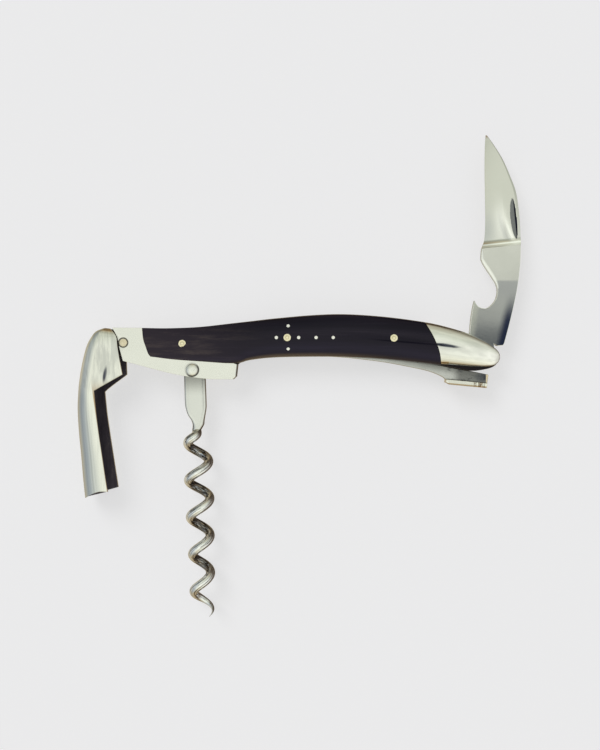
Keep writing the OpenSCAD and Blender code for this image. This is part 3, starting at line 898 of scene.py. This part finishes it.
# ---- blade
TANG_HALF_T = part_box("blade")[1].y / MM
# Radius of the round end at the pivot, and the spike between the tang's front and the notch
CAM_R = 4.55
SPIKE = (57.6, 11.5)


def blade_outline():
    """The flat part of the blade, from the shoulder down its back and up its front."""
    bx, bz = PIVOT["blade"]
    back = curve([(71.9, 28.9), (71.7, 22.7), (70.9, 16.0), (69.8, 10.3), (68.3, 3.9),
                  (66.8, -1.7)], 10)
    cam = [(bx + CAM_R * math.cos(a), bz + CAM_R * math.sin(a))
           for a in np.radians(np.linspace(-40, -155, 24))]
    front = curve([(56.3, -6.0), (56.0, -2.0), (56.45, 4.7), (57.05, 8.85), SPIKE], 8)
    notch = curve([(57.9, 10.9), (58.5, 10.0), (59.4, 9.35), (61.3, 9.15), (63.2, 10.5),
                   (64.3, 12.2), (64.75, 14.4), (64.3, 16.6), (62.9, 18.9), (61.3, 21.3),
                   (59.9, 23.7), (59.75, 25.4), (59.95, 27.6)], 8)
    heel = [(66.4, -2.3), (64.7, -2.45), (63.6, -1.7), (63.8, -4.0)]
    return np.vstack([back, heel, cam, front, notch])


# Ground part, shoulder to point: edge x, edge z, spine x, spine z, spine half thickness
GRIND = [(59.97, 27.5, 71.9, 28.8, 1.0), (60.8, 30.5, 71.9, 31.6, 0.98),
         (61.1, 36, 71.6, 37, 0.93), (61.0, 44.6, 70.6, 44.6, 0.84),
         (60.9, 50, 68.7, 50.0, 0.72), (60.9, 55, 66.4, 55.2, 0.60),
         (61.0, 59.5, 63.7, 59.6, 0.42), (61.2, 62.6, 61.6, 62.6, 0.2)]
EDGE_HALF_T = 0.09
# Thumbnail nick: centre x and z, half length, width to the left and right, depth
NICK = (69.98, 36.8, 6.3, 1.3, 0.66, 0.40)


def nick_depth(x, z):
    """Depth of the thumbnail groove: a lens with a steep wall towards the spine."""
    cx, cz, half_l, left, right, deep = NICK
    along = (z - cz) / half_l
    if abs(along) >= 1:
        return 0.0
    off = x - cx + NICK_LEAN * (z - cz)
    across = off / ((left if off < 0 else right) * math.sqrt(1 - along * along))
    if across < -1 or across > 1:
        return 0.0
    ramp = (across + 1) / 1.75 if across < 0.75 else (1 - across) / 0.25
    return deep * math.sqrt(1 - along * along) * max(0.0, min(1.0, ramp))


# Height of the step below the ground part, and depth of its hollow
COVE = 2.6
HOLLOW = 0.42


def hollow_border(above):
    """How far across the ground part its hollow reaches, at a height above the shoulder."""
    return 0.97 - 0.42 * min(1, above / 9.5) ** 0.55


def ground_shine(k, above):
    """The painted highlight along the hollow and its step, above 1 where the shading normal is also
    turned flat; the painted dull reflection; and the painted shade under the step."""
    fade = math.exp(-(above / 10.5) ** 4)
    off = k - hollow_border(above)
    line = math.exp(-(off / 0.07) ** 2) * fade * ease(above / 1.2)
    cove = math.exp(-((above - 1.05) / 0.5) ** 2)
    glow = 0.7 * math.exp(-((k - 0.48) / 0.22) ** 2 - ((above - 8.0) / 5.5) ** 2) * (off < 0)
    dull = 0.65 * math.exp(-(k / 0.30) ** 2) * math.exp(-((above - 5) / 6.0) ** 2)
    beside = 0.40 * math.exp(-((off + 0.15) / 0.07) ** 2) * fade * (above > 2.5)
    floor = 0.45 * math.exp(-((above - 2.25) / 0.4) ** 2) * (off < -0.05)
    step = (1 - ease(above / 0.35)) * ease((0.75 - k) / 0.3)
    return (max(line, 1.9 * cove, glow), max(dull, beside, floor), 0.9 * step)


def ground_depth(k, above, half):
    """Half thickness of the ground part at k across it (0 at the edge) and above the shoulder."""
    y = EDGE_HALF_T + (half - EDGE_HALF_T) * k ** 0.9
    border = hollow_border(above)
    fade = math.exp(-(above / 8.5) ** 2)
    y -= HOLLOW * (y / half) * fade * ease((border - k) / 0.16) * (1 - 0.3 * k)
    if k > 0.93:
        y -= 0.30 * half * (k - 0.93) / 0.07
    return y + (TANG_HALF_T * 0.97 - y) * ease(1 - above / COVE)


def tang_mesh():
    """The tang with a shallow chamfer, broad only along the upper edge of the cap notch, and marks
    that blade_tone() reads as a painted highlight and painted dull reflection on its chamfer."""
    outline = blade_outline()
    n = len(outline)
    middle = outline[:, 0].mean()
    ahead = np.roll(outline, -1, axis=0) - np.roll(outline, 1, axis=0)
    inward = np.stack([ahead[:, 1], -ahead[:, 0]], axis=1)
    inward /= norm(inward, axis=1)[:, None]
    # The chamfer's width, least at the spike
    wide = np.minimum(0.16, 0.01 + 0.2 * norm(outline - SPIKE, axis=1))
    for i, (x, z) in enumerate(outline):
        if x < middle + 2 and z > 14.5:
            wide[i] += 0.85 * math.sin(math.pi * min(1, max(0, (z - 14.5) / 12.8))) ** 0.8
    inset = outline + inward * wide[:, None]
    drop = TANG_HALF_T - 0.02 - 0.30 * wide
    verts = [(x, -TANG_HALF_T, z) for x, z in inset]
    for side in (-1, 1):
        verts += [(x, side * y, z) for (x, z), y in zip(outline, drop)]
    verts += [(x, TANG_HALF_T, z) for x, z in inset]
    faces = grid_faces(4, n, closed=True) + end_caps(4 * n, n)
    return verts, faces, [(0, 0, 0)] * n + [(1.7, 0.28, 0)] * 2 * n + [(0, 0, 0)] * n


def build_blade():
    verts, faces, marks = tang_mesh()
    smooth(mesh("blade_tang", verts, faces, "blade", [MAT["blade"]],
                replaces=["blade"], marks=marks), 9)
    rows = curve(GRIND, 36)
    across = 96
    verts, nicks, marks = [], [], []
    for row in rows:
        edge, spine, half = row[0:2], row[2:4], row[4]
        above = max(0.0, row[1] - GRIND[0][1])
        loop, shine = [], []
        for i in range(across + 1):
            k = i / across
            x, z = edge + (spine - edge) * k
            deep = nick_depth(x, z)
            loop.append((x, max(0.05, ground_depth(k, above, half) - deep), z))
            nicks.append(deep > 0.01)
            shine.append(ground_shine(k, above))
        marks += shine + shine[::-1]
        verts += [(x, -y, z) for x, y, z in loop] + [(x, y, z) for x, y, z in reversed(loop)]
    width = 2 * (across + 1)
    faces = grid_faces(len(rows), width, closed=True)
    inside = []
    for i in range(0, len(nicks) - across - 1, across + 1):
        row = [int(a and b) for a, b in zip(nicks[i:i + across + 1], nicks[i + across + 1:])]
        inside += row + row[::-1]
    faces += end_caps(len(verts), width)
    smooth(mesh("blade_ground", verts, faces, "blade",
                [MAT["blade"], MAT["nick"]], inside + [0, 0], marks=marks), 30)


# ---- lever
# Stations from the knuckle's top to the claw, as [back x, back z, front x, front z,
# half width across the cheeks, corner radius at the back]; the free edge turns sharply
# at the knuckle's foot and again where the arm begins, so the lever is three runs.
KNUCKLE = [(-56.0, 2.95, -54.2, 2.8, 4.4, 0.5), (-58.44, 1.99, -53.0, 1.6, 5.6, 2.0),
           (-60.1, 0.13, -52.05, 0.1, 6.1, 3.0), (-61.54, -2.55, -51.65, -2.8, 6.3, 3.7),
           (-62.7, -6.6, -50.95, -7.2, 6.3, 4.1), (-63.55, -10.8, -50.2, -11.25, 6.3, 4.3)]
FOOT = [KNUCKLE[-1], (-64.05, -14.6, -58.8, -16.2, 6.3, 4.3)]
ARM = [FOOT[-1], (-64.42, -21.5, -58.1, -23.3, 6.3, 4.6), (-64.05, -29.0, -57.3, -29.6, 6.3, 4.8),
       (-63.4, -36.0, -56.3, -36.2, 6.3, 4.9), (-62.8, -43.0, -55.4, -42.2, 6.3, 4.9),
       (-62.15, -49.2, -54.65, -46.95, 6.3, 4.9)]
# How much further the far cheek reaches, on the arm and at its square shoulder below the
# bolster, and how far the claw hollows in the near and the far cheek
REAR_REACH = 1.8
REAR_SHOULDER = 0.6
CLAW_NEAR, CLAW_FAR = 0.85, 0.55
LEVER_EYE_R = 3.2


def lever_ring(row, reach):
    """Closed ring round the channel: near edge, near face, back, far face, far edge, inside."""
    back, front = np.array(row[0:2]), np.array(row[2:4])
    half, corner = row[4], row[5]
    deep = norm(front - back)
    across = (front - back) / deep
    corner = min(corner, deep * 0.8)
    side_y = min(corner, half * 0.8)
    lip = 0.16
    flat_steps, corner_steps, back_steps = 10, 12, 6

    def place(depth, y):
        p = back + across * depth
        return (p[0], y, p[1])

    def face(sign, extra):
        """One cheek's outer half, from its free edge to the middle of the back."""
        full = deep + extra
        out = [place(full - 0.02, sign * (half - CHEEK_T + 0.25)),
               place(full, sign * (half - CHEEK_T + 0.5)),
               place(full, sign * (half - lip - 0.02))]
        for i in range(flat_steps + 1):
            d = full - lip + (corner - full + lip) * i / flat_steps
            out.append(place(d, sign * (half - 0.22 + 0.20 * (full - d) / full)))
        for i in range(1, corner_steps + 1):
            a = math.pi / 2 * i / corner_steps
            out.append(place(corner * (1 - math.sin(a)),
                             sign * (half - 0.05 - side_y * (1 - math.cos(a)))))
        for i in range(1, back_steps):
            out.append(place(0, sign * (half - 0.05 - side_y) * (1 - i / back_steps)))
        return out

    outer = face(-1, 0) + [place(0, 0)] + face(1, reach)[::-1]
    inner, wall = [], half - CHEEK_T
    floor_at = min(WEB_T, deep * 0.7)
    turn = max(0.1, min(side_y - CHEEK_T, corner - CHEEK_T, (deep - floor_at) * 0.7))
    for sign, extra in ((1, reach), (-1, 0)):
        start, stop = deep + extra, floor_at + turn
        run = [place(start + (stop - start) * k / 6, sign * wall) for k in range(7)]
        bend = [place(floor_at + turn * (1 - math.sin(a)), sign * (wall - turn * (1 - math.cos(a))))
                for a in np.radians(np.linspace(15, 90, 6))]
        mids = [place(floor_at, sign * (wall - turn) * (1 - k / 4)) for k in range(1, 4)]
        inner.append(run + bend + mids)
    ring = outer + inner[0] + [place(floor_at, 0)] + inner[1][::-1]
    return ring, len(outer)


def build_lever():
    rings = []
    for row in curve(KNUCKLE, 8):
        shoulder = min(ease(-row[3] / 3 - 1), (row[3] - KNUCKLE[-1][3]) / 4.05)
        rings.append(lever_ring(row, REAR_SHOULDER * max(0.0, shoulder)))
    rings += [lever_ring(row, REAR_REACH * i / 14) for i, row in enumerate(curve(FOOT, 14)) if i]
    rings += [lever_ring(row, REAR_REACH) for row in curve(ARM, 14)[1:]]
    outer = rings[0][1]
    width = len(rings[0][0])
    verts = [list(p) for ring, _ in rings for p in ring]
    # The claw: the last rows are pulled up in a hollow between the web and the cheeks' corners
    tail = 26
    count = len(rings)
    for i in range(count - tail, count):
        share = (i - (count - tail)) / (tail - 1)
        row = verts[i * width:(i + 1) * width]
        back_x = min(p[0] for p in row)
        deep = max(p[0] for p in row) - REAR_REACH - back_x
        for p in row:
            k = (p[0] - back_x) / (deep + REAR_REACH * (p[1] > 0))
            hollow = max(0.0, math.sin(math.pi * min(1, k) ** 1.15))
            p[2] += (CLAW_NEAR if p[1] < -4.0 else CLAW_FAR) * hollow * share ** 2
    faces = grid_faces(count, width, closed=True)
    inside = [int(i % width >= outer) for i in range(len(faces))]
    faces += end_caps(len(verts), width)
    inside += [0, 1]
    smooth(mesh("lever_channel", verts, faces, "lever",
                [MAT["lever"], MAT["inside"]], inside, replaces=["lever"]), 40)
    px, pz = PIVOT["lever"]
    eye = [(px + LEVER_EYE_R * math.cos(a), pz + LEVER_EYE_R * math.sin(a))
           for a in np.radians(np.linspace(-95, 90, 40))]
    outline = eye + [(-57.2, 1.0), (-59.2, -1.5), (-61.0, -7.5), (-61.5, -10.4)]
    verts = [(x, y, z) for y in (0.1 - LINER_IN, LINER_IN - 0.1) for x, z in outline]
    faces = grid_faces(2, len(outline), closed=True) + end_caps(len(verts), len(outline))
    tang = mesh("lever_tang", verts, faces, "lever", [MAT["liner"]])
    soften(tang, 0.2)
    smooth(tang, 40)


# ---- CAD pieces that stay
def finish_cad_pieces():
    for side in ("front", "rear"):
        cad_look(f"{side}_liner", MAT["liner"], 0.1)
        cad_look(f"{side}_lever_bolster", MAT["bolster"], 0.26)
        cad_look(f"{side}_right_pin", MAT["brass"])
        cad_look(f"{side}_cross_pins", MAT["silver"])
    cad_look("back_spring", MAT["spring"], 0.2)
    cad_look("spring_end_plate", MAT["cap"], 0.22)
    cad_look("lever_pivot_pin", MAT["pivot"], 0.12)
    cad_look("worm_pivot_rivet", MAT["bolster"])
    cad_look("blade_pivot_pin", MAT["liner"])
    cad_look("centre_pin", MAT["brass"])
    cad_look("left_pin", MAT["brass"])


# ---- stage, light, camera
# The camera's distance, and what it sees at VIEW_NEAR in front of the middle plane
CAMERA_AWAY = 405.0
VIEW_NEAR = 5.0
VIEW_WIDTH = 183.0
VIEW_CENTRE = (3.9, -11.4)
# The sheet's distance behind the object, and half its size
BACKDROP_GAP = 0.4
BACKDROP_HALF = 1500
PALE = (0.82, 0.82, 0.82)
SHEET_GLOW = 0.728
FILL = 0.36
SUN_ENERGY = 0.85
SUN_SPREAD = 30
SUN_WAY = (0.42, 0.75, -0.50)
# The camera's dark shape in the reflections: turn and height of its middle, half width and height
SHADE_TURN, SHADE_UP, SHADE_HALF_TURN, SHADE_HALF_UP = 0.036, 0.021, 0.032, 0.038


def camera_in_front(g):
    """1 while the camera looks at the backdrop from its front half, otherwise 0."""
    place = g.node("VectorTransform", {0: (0, 0, 0)}, vector_type="POINT",
                   convert_from="CAMERA", convert_to="WORLD")[0]
    return g.math("LESS_THAN", g.split(g.vector("NORMALIZE", place)[0])["Y"], -0.4)


def build_backdrop():
    """A pale sheet just behind the object; it vanishes for side and rear views."""
    y, half = cad_high.y + BACKDROP_GAP * MM, BACKDROP_HALF * MM
    data = bpy.data.meshes.new("backdrop")
    data.from_pydata([(-half, y, -half), (half, y, -half), (half, y, half), (-half, y, half)],
                     [], [(0, 1, 2, 3)])
    add("backdrop", data)
    s = Shader("backdrop_paper")
    fibre = s.noise(1400, detail=3)
    s.set(Base_Color=s.ramp(fibre, [(0.3, (0.40, 0.40, 0.41)), (0.7, (0.41, 0.41, 0.42))]),
          Roughness=0.95, Specular_IOR_Level=0.0, Emission_Color=PALE, Emission_Strength=SHEET_GLOW)
    path = s.node("LightPath")
    clear = s.node("BsdfTransparent")[0]
    seen = s.minus(camera_in_front(s), path["Is Glossy Ray"])
    both = s.node("MixShader", {0: seen, 1: clear, 2: s.bsdf.outputs[0]})[0]
    s.put(s.tree.nodes["Material Output"].inputs[0], both)
    data.materials.append(s.material)


def build_world():
    """Plain pale grey to the camera; to reflections, a bright room with darker sides."""
    world = bpy.data.worlds.new("studio")
    bpy.context.scene.world = world
    world.use_nodes = True
    g = Graph(world.node_tree)

    def ramp(value, stops):
        """A ramp whose stops run from -1 to 1."""
        return g.ramp(g.math("MULTIPLY_ADD", value, 0.5, 0.5),
                      [((place + 1) / 2, tone) for place, tone in stops])

    def light(colour, strength=1.0):
        return g.node("Background", {0: colour, 1: strength})[0]

    def choose(factor, first, second):
        return g.node("MixShader", {0: factor, 1: first, 2: second})[0]

    way = g.node("TexCoord")["Generated"]
    x, y, z = g.split(way)
    # The room's bright side is always the camera's, in front of the sheet or behind it
    towards = g.times(y, g.math("MULTIPLY_ADD", camera_in_front(g), -2.0, 1.0))
    turn = g.math("DIVIDE", g.math("ARCTAN2", x, towards), math.pi)
    # Round the room: 0 is the camera's side, 1 and -1 behind the sheet, positive to the right
    around = ramp(turn, [
        (-1.0, (0.48, 0.40, 0.27)), (-0.78, (0.60, 0.53, 0.40)), (-0.64, (0.54, 0.515, 0.43)),
        (-0.50, (0.455, 0.49, 0.51)), (-0.36, (0.55, 0.59, 0.60)), (-0.24, (0.73, 0.76, 0.71)),
        (-0.10, (0.93, 0.95, 0.85)), (0.10, (0.93, 0.95, 0.85)), (0.26, (0.84, 0.85, 0.78)),
        (0.40, (0.58, 0.57, 0.52)), (0.54, (0.20, 0.16, 0.13)), (0.75, (0.08, 0.06, 0.045)),
        (0.90, (0.25, 0.19, 0.12)), (1.0, (0.42, 0.34, 0.22))])
    tall = ramp(z, [
        (-1.0, (0.60, 0.50, 0.36)), (-0.82, (1.0, 0.97, 0.88)), (-0.35, (1.06, 1.06, 1.04)),
        (-0.06, (1.0, 1.0, 1.0)), (0.06, (0.99, 0.99, 0.99)), (0.35, (0.84, 0.86, 0.82)),
        (0.65, (0.74, 0.74, 0.68)), (0.92, (0.62, 0.58, 0.48)), (1.0, (0.50, 0.38, 0.25))])
    clutter = g.node("TexNoise", {"Vector": way, "Scale": 3.2, "Detail": 3.0})[0]
    room = g.node("VectorMath", {0: g.vector("MULTIPLY", around, tall)[0],
                                 "Scale": g.span(clutter, 0.80, 1.12, 0.3, 0.7)},
                  operation="SCALE")[0]
    # The dark camera and its stand, a little to the right of the middle
    far = g.length(g.math("DIVIDE", g.minus(turn, SHADE_TURN), SHADE_HALF_TURN),
                   g.math("DIVIDE", g.minus(z, SHADE_UP), SHADE_HALF_UP))
    seen = g.mix(g.span(far, 0.92, 0.0, 0.5, 1.1), room, (0.015, 0.022, 0.05))
    path = g.node("LightPath")
    unseen = choose(path["Is Glossy Ray"], light((1, 1, 1), FILL), light(seen))
    g.put(g.tree.nodes["World Output"].inputs[0],
          choose(path["Is Camera Ray"], unseen, light(PALE)))


def build_lights():
    """A broad sun from the upper left, which reflections don't show."""
    sun = bpy.data.lights.new("key", "SUN")
    sun.energy = SUN_ENERGY
    sun.angle = math.radians(SUN_SPREAD)
    key = add("key", sun)
    key.visible_glossy = False
    key.rotation_euler = Vector(SUN_WAY).to_track_quat("-Z", "Y").to_euler()


def build_camera():
    data = bpy.data.cameras.new("camera")
    camera = add("camera", data)
    x, z = VIEW_CENTRE
    camera.location = (x * MM, -CAMERA_AWAY * MM, z * MM)
    camera.rotation_euler = (math.pi / 2, 0, 0)
    tall = VIEW_WIDTH * 750 / 600
    data.sensor_width = 36
    data.lens = data.sensor_width * (CAMERA_AWAY - VIEW_NEAR) / tall
    data.clip_start, data.clip_end = 0.01, 10
    bpy.context.scene.camera = camera


build_handle()
build_pin_heads()
build_worm()
build_blade()
build_lever()
finish_cad_pieces()
build_backdrop()
build_world()
build_lights()
build_camera()
bpy.context.scene.view_settings.view_transform = "Standard"
